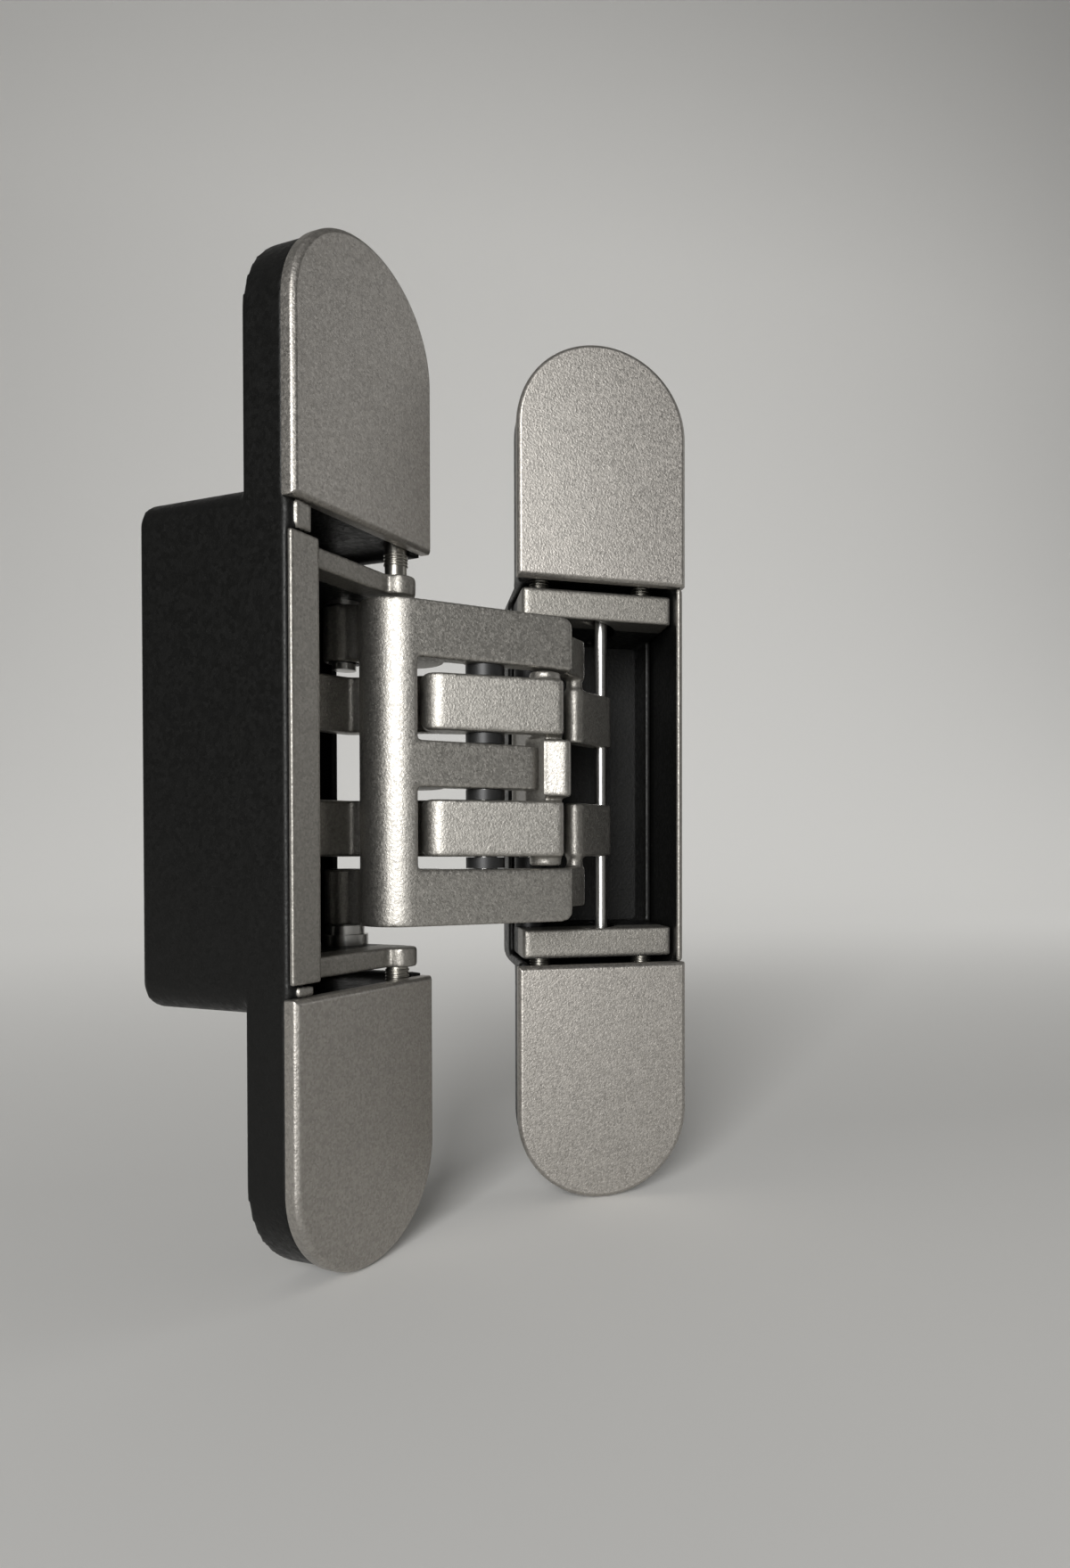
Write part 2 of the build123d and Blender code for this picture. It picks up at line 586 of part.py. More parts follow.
for end_name, end_side, frame_end, door_end in (
    ("lower", -1, FRAME_BAR_ENDS[0], DOOR_BAR_ENDS[0]),
    ("upper", 1, FRAME_BAR_ENDS[1], DOOR_BAR_ENDS[1]),
):
    for piece_name, make_piece in (("cover", make_cover), ("side_adjuster", make_adjuster)):
        pieces[f"frame_{piece_name}_{end_name}"] = make_piece(end_side)
        pieces[f"door_{piece_name}_{end_name}"] = door_side(make_piece(end_side))
    pieces[f"frame_height_screws_{end_name}"] = make_height_screws(FRAME_HEIGHT_SCREWS, frame_end)
    pieces[f"door_height_screws_{end_name}"] = door_side(make_height_screws(DOOR_HEIGHT_SCREWS, door_end))

os.makedirs("parts", exist_ok=True)
for node, solid in pieces.items():
    export_step(Pos(0, -FLANGE_DEPTH, 0) * solid, f"parts/{node}.step")
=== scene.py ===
"""Looks of a concealed door hinge, built round its CAD model."""

import json
import math

import bmesh
import bpy
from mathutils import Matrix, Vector

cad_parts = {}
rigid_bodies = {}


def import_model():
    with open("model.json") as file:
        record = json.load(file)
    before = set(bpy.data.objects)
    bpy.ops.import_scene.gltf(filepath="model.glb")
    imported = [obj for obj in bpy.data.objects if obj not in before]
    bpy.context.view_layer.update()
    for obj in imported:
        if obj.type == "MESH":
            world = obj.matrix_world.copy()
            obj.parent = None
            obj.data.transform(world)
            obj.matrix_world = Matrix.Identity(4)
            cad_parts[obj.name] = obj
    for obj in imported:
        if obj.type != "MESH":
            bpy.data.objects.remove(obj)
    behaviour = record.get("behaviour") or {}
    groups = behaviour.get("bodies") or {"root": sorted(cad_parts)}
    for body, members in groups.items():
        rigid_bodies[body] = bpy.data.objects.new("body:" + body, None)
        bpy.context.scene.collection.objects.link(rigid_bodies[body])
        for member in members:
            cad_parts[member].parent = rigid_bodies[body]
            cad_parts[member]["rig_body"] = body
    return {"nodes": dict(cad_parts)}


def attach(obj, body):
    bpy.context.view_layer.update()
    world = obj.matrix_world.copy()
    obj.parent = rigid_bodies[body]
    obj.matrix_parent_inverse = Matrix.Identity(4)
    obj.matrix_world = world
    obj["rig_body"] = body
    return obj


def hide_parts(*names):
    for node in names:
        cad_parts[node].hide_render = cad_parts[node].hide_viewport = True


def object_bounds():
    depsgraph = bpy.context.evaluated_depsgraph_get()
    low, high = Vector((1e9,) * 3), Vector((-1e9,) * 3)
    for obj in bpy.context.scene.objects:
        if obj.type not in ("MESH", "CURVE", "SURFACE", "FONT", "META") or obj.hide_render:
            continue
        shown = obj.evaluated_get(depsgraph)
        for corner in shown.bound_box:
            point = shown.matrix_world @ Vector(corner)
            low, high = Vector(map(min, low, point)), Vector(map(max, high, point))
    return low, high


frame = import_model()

bl_info = {
    "name": "Concealed Hinge Finishes",
    "version": (1, 0, 0),
    "blender": (4, 5, 0),
    "location": "View3D > Sidebar > Hinge",
    "description": "Dresses the pieces of a concealed door hinge and sets a plain studio",
    "category": "Object",
}

MM = 0.001
CAD_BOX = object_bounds()
SIDES = ("frame", "door")
ENDS = ("upper", "lower")

# Camera of the photograph: 1200 by 1759 pixels
FRAME_WIDTH = 1200
FRAME_HEIGHT = 1759
FOCAL_PIXELS = 1116.6
CENTRE_PIXELS = (781.0, 970.6)
SENSOR_MM = 36.0
CAMERA_PLACE = Vector((-37.2, -194.2, -14.8)) * MM
CAMERA_FORWARD = Vector((0.2876, 0.9578, -0.0132))
CLIP_START = 5.0 * MM

# Places on the hinge at rest
REST_OPENING = math.radians(128.0)
OUTWARD = {
    "frame": Vector((0.0, -1.0, 0.0)),
    "door": Vector((math.sin(REST_OPENING), math.cos(REST_OPENING), 0.0)),
}

# How deep the grey paint reaches from the front of a case and of a carrier; deeper faces keep the
# near-black housing material as painted shade
RIM_PAINT_REACH = 0.5 * MM
CARRIER_SHADE_DEPTH = 8.0 * MM

# The frame arm's face turns from the frame side's by the slant, and carries the post
FRAME_ARM_SLANT = math.radians(3.5)
POST_TOP = 5.0 * MM
POST_LEAN = 0.85 * MM

# Joining corners and softening edges of the meshes
MERGE_GAP = 0.002 * MM
SAME_PLACE = 0.01 * MM
FLAT_ANGLE = math.radians(0.6)
SHARP_ANGLE = math.radians(35.0)
EDGE_SEGMENTS = 3
SMOOTH_SHARE = 0.5

# Patterns of the finishes
PEBBLE_DETAIL = 2.0
PEBBLE_ROUGHNESS = 0.6
FLAKE_GLOSS = 0.08
CASE_GRAIN_SHARE = 2.0
RING_LENGTH = 5.0 * MM
RING_SPACING = MM / 9
RING_BRIGHT = 0.06
RING_DULL = 0.08

# Thread ridges on the height screws
THREAD_RADIUS = 1.8 * MM
THREAD_RIDGE = 0.2 * MM
THREAD_TURNS = 4
THREAD_SIDES = 40
RIDGE_SIDES = 8

# Studio, in metres: the softboxes hang from the hinge's middle, the backdrop lamp from the origin
FLOOR_DROP = 0.2 * MM
SWEEP_START = 0.8
SWEEP_RADIUS = 1.7
SWEEP_STEPS = 32
BACKDROP_HEIGHT = 4.0
KEY_OFFSET = Vector((-0.36, -1.0, 0.2))
KEY_SIZE = (0.5, 0.75)
SIDE_OFFSET = Vector((1.0, 0.15, 0.35))
SIDE_SIZE = (0.5, 0.8)
BACKDROP_LAMP_PLACE = Vector((0.6, 0.3, 1.2))
BACKDROP_LAMP_AIM = Vector((0.6, 2.4, 0.75))
BACKDROP_LAMP_SIZE = (3.5, 1.2)


def linear(hex_colour):
    """Linear RGBA of an sRGB colour written as six hex digits."""
    channels = [int(hex_colour[i:i + 2], 16) / 255 for i in (0, 2, 4)]
    flat = [c / 12.92 if c <= 0.04045 else ((c + 0.055) / 1.055) ** 2.4 for c in channels]
    return (*flat, 1.0)


def add_node(tree, kind, links=None, **settings):
    """Add a node, set its fields and sockets, and link sockets to other nodes' outputs."""
    node = tree.nodes.new(kind)
    for name, value in settings.items():
        if hasattr(node, name):
            setattr(node, name, value)
        else:
            node.inputs[name.replace("_", " ")].default_value = value
    for socket, source in (links or {}).items():
        tree.links.new(source, node.inputs[socket])
    return node


# Properties
class HingeFinishSettings(bpy.types.PropertyGroup):
    """Colours and sizes of the finishes."""

    cover_colour: bpy.props.FloatVectorProperty(
        name="Cover colour", description="Paint colour of the cover plates",
        subtype="COLOR", size=4, min=0, max=1, default=linear("A5A19B"))
    arm_colour: bpy.props.FloatVectorProperty(
        name="Arm colour", description="Paint colour of the two arms",
        subtype="COLOR", size=4, min=0, max=1, default=linear("9C9993"))
    carrier_colour: bpy.props.FloatVectorProperty(
        name="Carrier colour", description="Colour of the carriers inside the bodies",
        subtype="COLOR", size=4, min=0, max=1, default=linear("8B8882"))
    # Near black as painted shade: the cases' hollows and the carriers' deep faces take this colour
    housing_shade_colour: bpy.props.FloatVectorProperty(
        name="Housing colour", description="Colour of the mortise cases",
        subtype="COLOR", size=4, min=0, max=1, default=linear("1C1C1B"))
    # A real flake is finer than a picture of the whole hinge can show, so the grain is drawn coarser
    grain_size: bpy.props.FloatProperty(
        name="Paint grain", description="Width of one grain of the paint, in metres",
        subtype="DISTANCE", min=0.0001, default=0.36 * MM)
    grain_height: bpy.props.FloatProperty(
        name="Grain height", description="Height of one grain of the paint, in metres",
        subtype="DISTANCE", min=0, default=0.055 * MM)
    flake_contrast: bpy.props.FloatProperty(
        name="Flake contrast", description="How far the paint's flakes differ in brightness, as a share",
        subtype="FACTOR", min=0, max=1, default=0.14)
    cast_cell: bpy.props.FloatProperty(
        name="Casting cell", description="Width of one mesh cell of the softened castings",
        subtype="DISTANCE", min=0.0001, default=0.34 * MM)
    cast_passes: bpy.props.IntProperty(
        name="Casting softness", description="How many times the castings' edges are softened",
        min=0, default=6)
    cover_edge_round: bpy.props.FloatProperty(
        name="Cover edge rounding", description="Radius that the covers' bevels are softened to",
        subtype="DISTANCE", min=0, default=0.25 * MM)
    case_cell: bpy.props.FloatProperty(
        name="Case cell", description="Width of one mesh cell of the softened mortise cases",
        subtype="DISTANCE", min=0.0001, default=0.54 * MM)
    case_passes: bpy.props.IntProperty(
        name="Case softness", description="How many times the mortise cases' edges are softened",
        min=0, default=2)
    thread_pitch: bpy.props.FloatProperty(
        name="Thread pitch", description="Distance between ridges of the height screws",
        subtype="DISTANCE", min=0.0001, default=0.55 * MM)


class HingeStageSettings(bpy.types.PropertyGroup):
    """Floor and light of the studio."""

    floor_colour: bpy.props.FloatVectorProperty(
        name="Floor colour", description="Colour of the floor and backdrop",
        subtype="COLOR", size=4, min=0, max=1, default=linear("ECEBE8"))
    floor_reach: bpy.props.FloatProperty(
        name="Floor reach", description="How far the floor runs to each side",
        subtype="DISTANCE", min=0.1, default=3.0)
    key_power: bpy.props.FloatProperty(
        name="Key power", description="Power of the main softbox", subtype="POWER", default=15.4)
    side_power: bpy.props.FloatProperty(
        name="Side power", description="Power of the softbox at the right", subtype="POWER", default=0.9)
    backdrop_power: bpy.props.FloatProperty(
        name="Backdrop power", description="Power of the lamp that lights the backdrop alone",
        subtype="POWER", default=26.0)
    world_strength: bpy.props.FloatProperty(
        name="World strength", description="Strength of the even light from all round", default=0.1)


# Materials
def new_material(name):
    """Empty node material and its tree."""
    material = bpy.data.materials.get(name) or bpy.data.materials.new(name)
    material.use_nodes = True
    material.node_tree.nodes.clear()
    return material, material.node_tree


def grained_paint(name, colour, roughness, metallic, grain, height, contrast):
    """Metal-flake paint sprayed on a zinc casting: pebbled, with tiny bright and dark flakes."""
    material, tree = new_material(name)
    place = add_node(tree, "ShaderNodeTexCoord")
    pebbles = add_node(tree, "ShaderNodeTexNoise", {"Vector": place.outputs["Object"]},
                       Scale=1 / grain, Detail=PEBBLE_DETAIL, Roughness=PEBBLE_ROUGHNESS)
    flakes = add_node(tree, "ShaderNodeTexVoronoi", {"Vector": place.outputs["Object"]}, Scale=1 / grain)
    flake_tone = add_node(tree, "ShaderNodeSeparateColor", {"Color": flakes.outputs["Color"]})
    sparkle = add_node(tree, "ShaderNodeMapRange", {"Value": flake_tone.outputs["Red"]},
                       To_Min=1 - contrast, To_Max=1 + contrast)
    tone = add_node(tree, "ShaderNodeVectorMath", {"Scale": sparkle.outputs["Result"]},
                    operation="SCALE", Vector=colour[:3])
    gloss = add_node(tree, "ShaderNodeMapRange", {"Value": flake_tone.outputs["Green"]},
                     To_Min=roughness - FLAKE_GLOSS, To_Max=roughness + FLAKE_GLOSS)
    bump = add_node(tree, "ShaderNodeBump", {"Height": pebbles.outputs["Fac"]}, Distance=height)
    surface = add_node(tree, "ShaderNodeBsdfPrincipled",
                       {"Base Color": tone.outputs["Vector"], "Roughness": gloss.outputs["Result"],
                        "Normal": bump.outputs["Normal"]}, Metallic=metallic)
    add_node(tree, "ShaderNodeOutputMaterial", {"Surface": surface.outputs["BSDF"]})
    return material


def paint_grain(settings):
    """Grain of the sprayed paint, as grained_paint takes it."""
    return {"grain": settings.grain_size, "height": settings.grain_height,
            "contrast": settings.flake_contrast}


def ground_steel(name, colour, roughness):
    """Steel pin ground on centres: bright, with faint rings round the axis."""
    material, tree = new_material(name)
    place = add_node(tree, "ShaderNodeTexCoord")
    stretch = add_node(tree, "ShaderNodeMapping", {"Vector": place.outputs["Object"]})
    # Grinding marks are finer than this, and are drawn coarse enough to soften the streak
    stretch.inputs["Scale"].default_value = (1 / RING_LENGTH, 1 / RING_LENGTH, 1 / RING_SPACING)
    rings = add_node(tree, "ShaderNodeTexNoise", {"Vector": stretch.outputs["Vector"]}, Scale=1.0)
    gloss = add_node(tree, "ShaderNodeMapRange", {"Value": rings.outputs["Fac"]},
                     To_Min=roughness - RING_BRIGHT, To_Max=roughness + RING_DULL)
    surface = add_node(tree, "ShaderNodeBsdfPrincipled", {"Roughness": gloss.outputs["Result"]},
                       Base_Color=colour, Metallic=1.0)
    add_node(tree, "ShaderNodeOutputMaterial", {"Surface": surface.outputs["BSDF"]})
    return material


def plain_surface(name, colour, roughness, metallic, sheen=0.5):
    """Even surface with one colour, one gloss and a share of sheen, 0.5 being usual."""
    material, tree = new_material(name)
    surface = add_node(tree, "ShaderNodeBsdfPrincipled", Base_Color=colour, Roughness=roughness,
                       Metallic=metallic, Specular_IOR_Level=sheen)
    add_node(tree, "ShaderNodeOutputMaterial", {"Surface": surface.outputs["BSDF"]})
    return material


# Pieces
def paint(node, material):
    """Show a CAD piece as it is, with one material."""
    piece = frame["nodes"][node]
    piece.data.materials.clear()
    piece.data.materials.append(material)


def merged_mesh(node):
    """Copy of a CAD piece's mesh with its corners joined."""
    mesh = frame["nodes"][node].data.copy()
    work = bmesh.new()
    work.from_mesh(mesh)
    bmesh.ops.remove_doubles(work, verts=work.verts, dist=MERGE_GAP)
    bmesh.ops.dissolve_limit(work, angle_limit=FLAT_ANGLE, verts=work.verts, edges=work.edges)
    work.to_mesh(mesh)
    work.free()
    mesh.materials.clear()
    mesh.shade_smooth()
    return mesh


def finished_piece(node, mesh, material):
    """Object that stands for a CAD piece, on the same body."""
    mesh.materials.append(material)
    piece = bpy.data.objects.new(f"{node}_finish", mesh)
    bpy.context.scene.collection.objects.link(piece)
    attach(piece, frame["nodes"][node]["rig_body"])
    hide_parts(node)
    return piece


def rounded_copy(node, material, radius):
    """Copy of a cover plate with narrow rounded edges."""
    piece = finished_piece(node, merged_mesh(node), material)
    bevel = piece.modifiers.new("Rounded edges", "BEVEL")
    bevel.width = radius
    bevel.segments = EDGE_SEGMENTS
    bevel.limit_method = "ANGLE"
    bevel.angle_limit = SHARP_ANGLE
    bevel.miter_outer = "MITER_ARC"
    smooth = piece.modifiers.new("Even shading", "WEIGHTED_NORMAL")
    smooth.keep_sharp = False
    return piece


def soft_copy(node, slot, material, cell, passes, reshape=None):
    """Copy of a casting whose edges are all softened, as a mould and thick paint leave them."""
    mesh = merged_mesh(node)
    if reshape:
        reshape(mesh)
    blank = bpy.data.objects.new(f"{node}_blank", mesh)
    bpy.context.scene.collection.objects.link(blank)
    even = blank.modifiers.new("Even cells", "REMESH")
    even.mode = "VOXEL"
    even.voxel_size = cell
    even.use_smooth_shade = True
    soft = blank.modifiers.new("Soft edges", "SMOOTH")
    soft.factor = SMOOTH_SHARE
    soft.iterations = passes
    view = bpy.context.evaluated_depsgraph_get()
    cast = bpy.data.meshes.new_from_object(blank.evaluated_get(view), depsgraph=view)
    bpy.data.objects.remove(blank)
    cast.materials.clear()
    return finished_piece(node, cast, material)


def lean_post(mesh):
    """Push back the left front edge of the frame arm's post, so that its face leans to the left."""
    along = Vector((math.cos(FRAME_ARM_SLANT), math.sin(FRAME_ARM_SLANT), 0.0))
    back = Vector((-along.y, along.x, 0.0))
    ends = [v for v in mesh.vertices if abs(abs(v.co.z) - POST_TOP) < SAME_PLACE]
    left = min(v.co.dot(along) for v in ends)
    edge = [v for v in ends if v.co.dot(along) < left + SAME_PLACE]
    front = min(v.co.dot(back) for v in edge)
    for vertex in edge:
        if vertex.co.dot(back) < front + SAME_PLACE:
            vertex.co += back * POST_LEAN


# Faces beyond reach keep the first material, which on the carriers and cases is the near-black painted
# shade
def recolour_front(piece, outward, reach, material):
    """Give a second material to the faces of a piece that lie within reach of its front."""
    piece.data.materials.append(material)
    places = [face.center.dot(outward) for face in piece.data.polygons]
    foremost = max(places)
    for face, place in zip(piece.data.polygons, places):
        if place > foremost - reach:
            face.material_index = 1


def solid_centres(node):
    """Box centre of each separate solid in a CAD piece, sorted so that each run gives the same order."""
    work = bmesh.new()
    work.from_mesh(frame["nodes"][node].data)
    bmesh.ops.remove_doubles(work, verts=work.verts, dist=MERGE_GAP)
    left = set(work.verts)
    centres = []
    while left:
        group = set()
        frontier = [left.pop()]
        while frontier:
            vert = frontier.pop()
            group.add(vert)
            for edge in vert.link_edges:
                other = edge.other_vert(vert)
                if other in left:
                    left.remove(other)
                    frontier.append(other)
        lows = [min(v.co[i] for v in group) for i in range(3)]
        highs = [max(v.co[i] for v in group) for i in range(3)]
        centres.append(Vector([(a + b) / 2 for a, b in zip(lows, highs)]))
    work.free()
    return sorted(centres, key=tuple)


def thread_tree(material):
    """Geometry nodes that put a stack of thread ridges on every point of the input."""
    tree = bpy.data.node_groups.new("Thread ridges", "GeometryNodeTree")
    tree.interface.new_socket("Geometry", in_out="INPUT", socket_type="NodeSocketGeometry")
    for name in ("Radius", "Ridge", "Pitch"):
        tree.interface.new_socket(name, in_out="INPUT", socket_type="NodeSocketFloat")
    tree.interface.new_socket("Count", in_out="INPUT", socket_type="NodeSocketInt")
    tree.interface.new_socket("Geometry", in_out="OUTPUT", socket_type="NodeSocketGeometry")
    given = add_node(tree, "NodeGroupInput")
    ring = add_node(tree, "GeometryNodeCurvePrimitiveCircle", {"Radius": given.outputs["Radius"]},
                    Resolution=THREAD_SIDES)
    profile = add_node(tree, "GeometryNodeCurvePrimitiveCircle", {"Radius": given.outputs["Ridge"]},
                       Resolution=RIDGE_SIDES)
    ridge = add_node(tree, "GeometryNodeCurveToMesh",
                     {"Curve": ring.outputs["Curve"], "Profile Curve": profile.outputs["Curve"]})
    steps = add_node(tree, "ShaderNodeMath", {0: given.outputs["Count"]}, operation="SUBTRACT")
    steps.inputs[1].default_value = 1
    height = add_node(tree, "ShaderNodeMath", {0: steps.outputs[0], 1: given.outputs["Pitch"]},
                      operation="MULTIPLY")
    lower = add_node(tree, "ShaderNodeMath", {0: height.outputs[0]}, operation="MULTIPLY")
    lower.inputs[1].default_value = -0.5
    start = add_node(tree, "ShaderNodeCombineXYZ", {"Z": lower.outputs[0]})
    step = add_node(tree, "ShaderNodeCombineXYZ", {"Z": given.outputs["Pitch"]})
    stack = add_node(tree, "GeometryNodeMeshLine",
                     {"Count": given.outputs["Count"], "Start Location": start.outputs["Vector"],
                      "Offset": step.outputs["Vector"]})
    ridges = add_node(tree, "GeometryNodeInstanceOnPoints",
                      {"Points": stack.outputs["Mesh"], "Instance": ridge.outputs["Mesh"]})
    screws = add_node(tree, "GeometryNodeInstanceOnPoints",
                      {"Points": given.outputs["Geometry"], "Instance": ridges.outputs["Instances"]})
    solid = add_node(tree, "GeometryNodeRealizeInstances", {"Geometry": screws.outputs["Instances"]})
    painted = add_node(tree, "GeometryNodeSetMaterial", {"Geometry": solid.outputs["Geometry"]},
                       Material=material)
    add_node(tree, "NodeGroupOutput", {"Geometry": painted.outputs["Geometry"]})
    return tree


def grown_mesh(name, points, tree, values):
    """Plain mesh that a geometry node tree makes from a list of points."""
    seed = bpy.data.meshes.new(f"{name}_points")
    seed.from_pydata([tuple(p) for p in points], [], [])
    maker = bpy.data.objects.new(f"{name}_maker", seed)
    bpy.context.scene.collection.objects.link(maker)
    modifier = maker.modifiers.new("Nodes", "NODES")
    modifier.node_group = tree
    for item in tree.interface.items_tree:
        if item.in_out == "INPUT" and item.name in values:
            modifier[item.identifier] = values[item.name]
    view = bpy.context.evaluated_depsgraph_get()
    mesh = bpy.data.meshes.new_from_object(maker.evaluated_get(view), depsgraph=view)
    bpy.data.objects.remove(maker)
    mesh.name = name
    piece = bpy.data.objects.new(name, mesh)
    bpy.context.scene.collection.objects.link(piece)
    return piece


# Operators
class HINGE_OT_dress_covers(bpy.types.Operator):
    """Paint the four cover plates"""

    bl_idname = "hinge.dress_covers"
    bl_label = "Dress covers"

    def execute(self, context):
        settings = context.scene.hinge_finish
        # Sprayed metal-flake paint on a pressed plate: satin, sparkling, finely pebbled
        material = grained_paint("Satin nickel paint on covers", settings.cover_colour,
                                 roughness=0.42, metallic=0.9, **paint_grain(settings))
        for side in SIDES:
            for end in ENDS:
                rounded_copy(f"{side}_cover_{end}", material, settings.cover_edge_round)
        return {"FINISHED"}


class HINGE_OT_dress_arms(bpy.types.Operator):
    """Round and paint the two arms"""

    bl_idname = "hinge.dress_arms"
    bl_label = "Dress arms"

    def execute(self, context):
        settings = context.scene.hinge_finish
        # The same paint on a casting: a little darker, with broad highlights along soft cast edges
        material = grained_paint("Satin nickel paint on castings", settings.arm_colour,
                                 roughness=0.43, metallic=0.9, **paint_grain(settings))
        softness = (settings.cast_cell, settings.cast_passes)
        soft_copy("door_arm", "arm_finish", material, *softness)
        soft_copy("frame_arm", "arm_finish", material, *softness, reshape=lean_post)
        return {"FINISHED"}


class HINGE_OT_dress_bodies(bpy.types.Operator):
    """Paint the housings and carriers"""

    bl_idname = "hinge.dress_bodies"
    bl_label = "Dress bodies"

    def execute(self, context):
        settings = context.scene.hinge_finish
        # Painted zinc casting: satin grey with a fine grain
        carrier = grained_paint("Satin grey zinc carrier", settings.carrier_colour,
                                roughness=0.43, metallic=0.8, **paint_grain(settings))
        # Zinc casting, near black as painted shade for the dark hollows of the cases, with a coarser cast
        # skin and edges that catch the light
        housing = grained_paint("Cast zinc housing dark as painted shade", settings.housing_shade_colour,
                                roughness=0.45, metallic=0.7, contrast=0.0,
                                grain=CASE_GRAIN_SHARE * settings.grain_size,
                                height=settings.grain_height)
        # Only the front of each carrier takes the grey paint; its deep faces keep the near-black housing
        # material as painted shade for the dark hollow
        for side in SIDES:
            inside = soft_copy(f"{side}_carrier", "carrier_metal", housing, settings.cast_cell,
                               settings.cast_passes)
            recolour_front(inside, OUTWARD[side], CARRIER_SHADE_DEPTH, carrier)
        # The cases' rims and end posts show between the covers and share the carriers' paint; on the
        # frame side the grey rim also stands in for a painted highlight along its edge, and the rest of
        # each case stays near black as painted shade
        for side in SIDES:
            case = soft_copy(f"{side}_housing", "housing_metal", housing, settings.case_cell,
                             settings.case_passes)
            recolour_front(case, OUTWARD[side], RIM_PAINT_REACH, carrier)
        return {"FINISHED"}


class HINGE_OT_dress_pins(bpy.types.Operator):
    """Polish the pins and rods, and colour their liners"""

    bl_idname = "hinge.dress_pins"
    bl_label = "Dress pins"

    def execute(self, context):
        # Ground steel: bright, with a soft streak along its length
        steel = ground_steel("Ground steel pin", linear("C6C5C2"), roughness=0.3)
        # Black acetal: smooth moulded plastic with a low sheen
        liner = plain_surface("Black acetal liner", linear("1C1C1C"), roughness=0.45, metallic=0.0)
        for node in ("frame_pivot_pins", "door_pivot_pins", "centre_pin", "door_pivot_washers",
                     "frame_arm_slide_rod", "door_arm_slide_rod"):
            paint(node, steel)
        for node in ("frame_pivot_sleeves", "centre_washers", "frame_arm_pivot_bushes",
                     "frame_arm_centre_bushes", "door_arm_pivot_bushes"):
            paint(node, liner)
        return {"FINISHED"}


class HINGE_OT_dress_screws(bpy.types.Operator):
    """Plate the adjusting screws and cut their threads"""

    bl_idname = "hinge.dress_screws"
    bl_label = "Dress screws"

    def execute(self, context):
        settings = context.scene.hinge_finish
        # Zinc-plated steel: grey with a soft shine
        plated = plain_surface("Zinc-plated screw steel", linear("A7A49C"), roughness=0.32, metallic=1.0)
        tree = thread_tree(plated)
        for side in SIDES:
            centres = []
            for end in ENDS:
                paint(f"{side}_side_adjuster_{end}", plated)
                paint(f"{side}_height_screws_{end}", plated)
                centres += solid_centres(f"{side}_height_screws_{end}")
            sizes = {"Radius": THREAD_RADIUS, "Ridge": THREAD_RIDGE, "Pitch": settings.thread_pitch,
                     "Count": THREAD_TURNS}
            threads = grown_mesh(f"{side}_height_screw_threads", centres, tree, sizes)
            threads.data.shade_smooth()
            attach(threads, f"{side}_side")
        return {"FINISHED"}


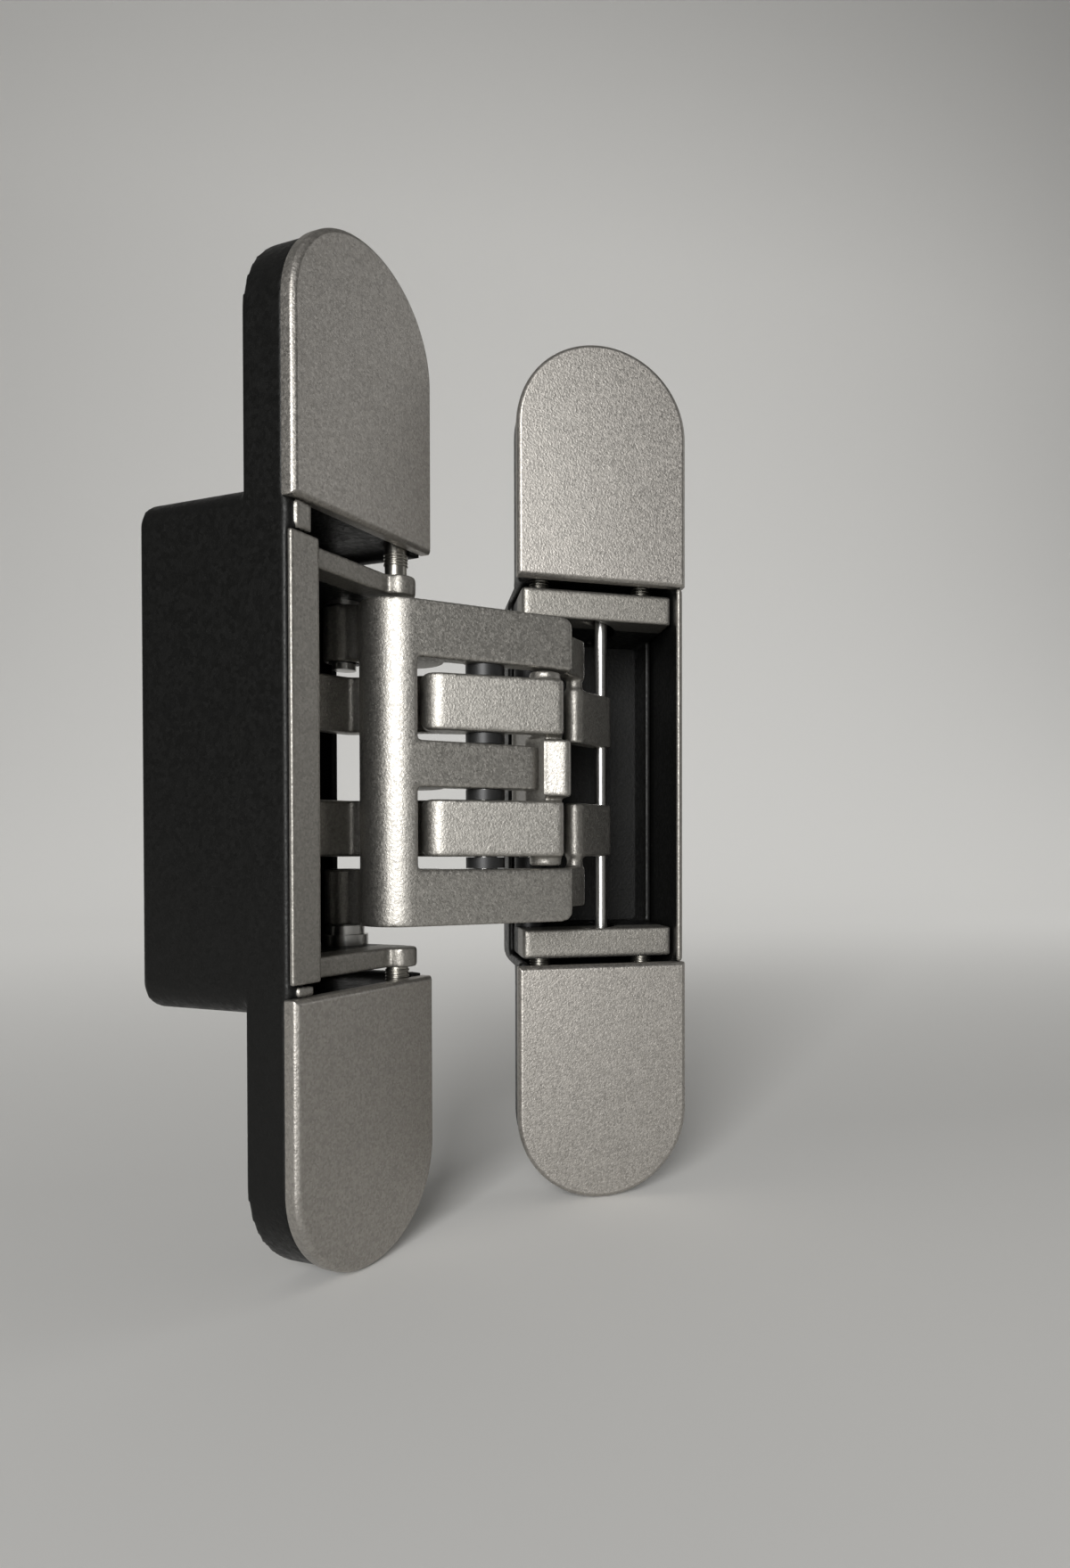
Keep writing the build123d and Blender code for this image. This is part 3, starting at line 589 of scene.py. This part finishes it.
class HINGE_OT_set_stage(bpy.types.Operator):
    """Set the floor, the backdrop, the light and the camera"""

    bl_idname = "hinge.set_stage"
    bl_label = "Set stage"

    def execute(self, context):
        settings = context.scene.hinge_stage
        self.lay_floor(settings)
        centre = (CAD_BOX[0] + CAD_BOX[1]) / 2
        self.hang_light("Key softbox", centre + KEY_OFFSET, centre, KEY_SIZE, settings.key_power)
        self.hang_light("Side softbox", centre + SIDE_OFFSET, centre, SIDE_SIZE, settings.side_power)
        self.hang_light("Backdrop lamp", BACKDROP_LAMP_PLACE, BACKDROP_LAMP_AIM, BACKDROP_LAMP_SIZE,
                        settings.backdrop_power)
        self.light_world(settings.world_strength)
        self.place_camera(context.scene)
        context.scene.view_settings.view_transform = "Standard"
        return {"FINISHED"}

    def lay_floor(self, settings):
        """Floor that sweeps up to a backdrop."""
        reach = settings.floor_reach
        low = CAD_BOX[0].z - FLOOR_DROP
        line = [(-reach, low), (SWEEP_START, low)]
        for i in range(1, SWEEP_STEPS + 1):
            turn = math.pi / 2 * i / SWEEP_STEPS
            rise = SWEEP_RADIUS * (1 - math.cos(turn))
            line.append((SWEEP_START + SWEEP_RADIUS * math.sin(turn), low + rise))
        line.append((SWEEP_START + SWEEP_RADIUS, low + BACKDROP_HEIGHT))
        verts = [(x, y, z) for y, z in line for x in (-reach, reach)]
        faces = [(2 * i, 2 * i + 1, 2 * i + 3, 2 * i + 2) for i in range(len(line) - 1)]
        mesh = bpy.data.meshes.new("Floor")
        mesh.from_pydata(verts, [], faces)
        mesh.shade_smooth()
        # Uncoated paper: pale, with no sheen even at a low angle
        paper = plain_surface("Matt studio paper", settings.floor_colour, roughness=0.9, metallic=0.0,
                              sheen=0.0)
        mesh.materials.append(paper)
        floor = bpy.data.objects.new("Floor", mesh)
        bpy.context.scene.collection.objects.link(floor)

    def hang_light(self, name, place, target, size, power):
        """Softbox of a width and height that faces a point."""
        lamp = bpy.data.lights.new(name, "AREA")
        lamp.shape = "RECTANGLE"
        lamp.size, lamp.size_y = size
        lamp.energy = power
        light = bpy.data.objects.new(name, lamp)
        light.location = place
        light.rotation_euler = (target - place).to_track_quat("-Z", "Y").to_euler()
        bpy.context.scene.collection.objects.link(light)

    def light_world(self, strength):
        """Even pale light from all round."""
        world = bpy.data.worlds.new("Studio air")
        bpy.context.scene.world = world
        world.use_nodes = True
        world.node_tree.nodes.clear()
        sky = add_node(world.node_tree, "ShaderNodeBackground", Color=linear("F2F1EE"), Strength=strength)
        add_node(world.node_tree, "ShaderNodeOutputWorld", {"Surface": sky.outputs["Background"]})

    def place_camera(self, scene):
        """Camera with the photograph's place, aim and framing."""
        lens = bpy.data.cameras.new("Camera")
        lens.sensor_width = SENSOR_MM
        lens.lens = FOCAL_PIXELS * SENSOR_MM / FRAME_HEIGHT
        lens.shift_x = (FRAME_WIDTH / 2 - CENTRE_PIXELS[0]) / FRAME_HEIGHT
        lens.shift_y = (CENTRE_PIXELS[1] - FRAME_HEIGHT / 2) / FRAME_HEIGHT
        lens.clip_start = CLIP_START
        camera = bpy.data.objects.new("Camera", lens)
        camera.location = CAMERA_PLACE
        camera.rotation_euler = CAMERA_FORWARD.to_track_quat("-Z", "Y").to_euler()
        scene.collection.objects.link(camera)
        scene.camera = camera


class HINGE_PT_finishes(bpy.types.Panel):
    """Finishes and stage of the hinge"""

    bl_idname = "HINGE_PT_finishes"
    bl_label = "Concealed hinge"
    bl_space_type = "VIEW_3D"
    bl_region_type = "UI"
    bl_category = "Hinge"

    def draw(self, context):
        layout = self.layout
        for group in (context.scene.hinge_finish, context.scene.hinge_stage):
            column = layout.column()
            for name in group.__annotations__:
                column.prop(group, name)
        for operator in OPERATORS:
            layout.operator(operator.bl_idname)


OPERATORS = (
    HINGE_OT_dress_covers,
    HINGE_OT_dress_arms,
    HINGE_OT_dress_bodies,
    HINGE_OT_dress_pins,
    HINGE_OT_dress_screws,
    HINGE_OT_set_stage,
)
CLASSES = (HingeFinishSettings, HingeStageSettings, *OPERATORS, HINGE_PT_finishes)


def register():
    for cls in CLASSES:
        bpy.utils.register_class(cls)
    bpy.types.Scene.hinge_finish = bpy.props.PointerProperty(type=HingeFinishSettings)
    bpy.types.Scene.hinge_stage = bpy.props.PointerProperty(type=HingeStageSettings)


def unregister():
    del bpy.types.Scene.hinge_stage
    del bpy.types.Scene.hinge_finish
    for cls in reversed(CLASSES):
        bpy.utils.unregister_class(cls)


def main():
    register()
    bpy.ops.hinge.dress_covers()
    bpy.ops.hinge.dress_arms()
    bpy.ops.hinge.dress_bodies()
    bpy.ops.hinge.dress_pins()
    bpy.ops.hinge.dress_screws()
    bpy.ops.hinge.set_stage()


if __name__ == "__main__":
    main()
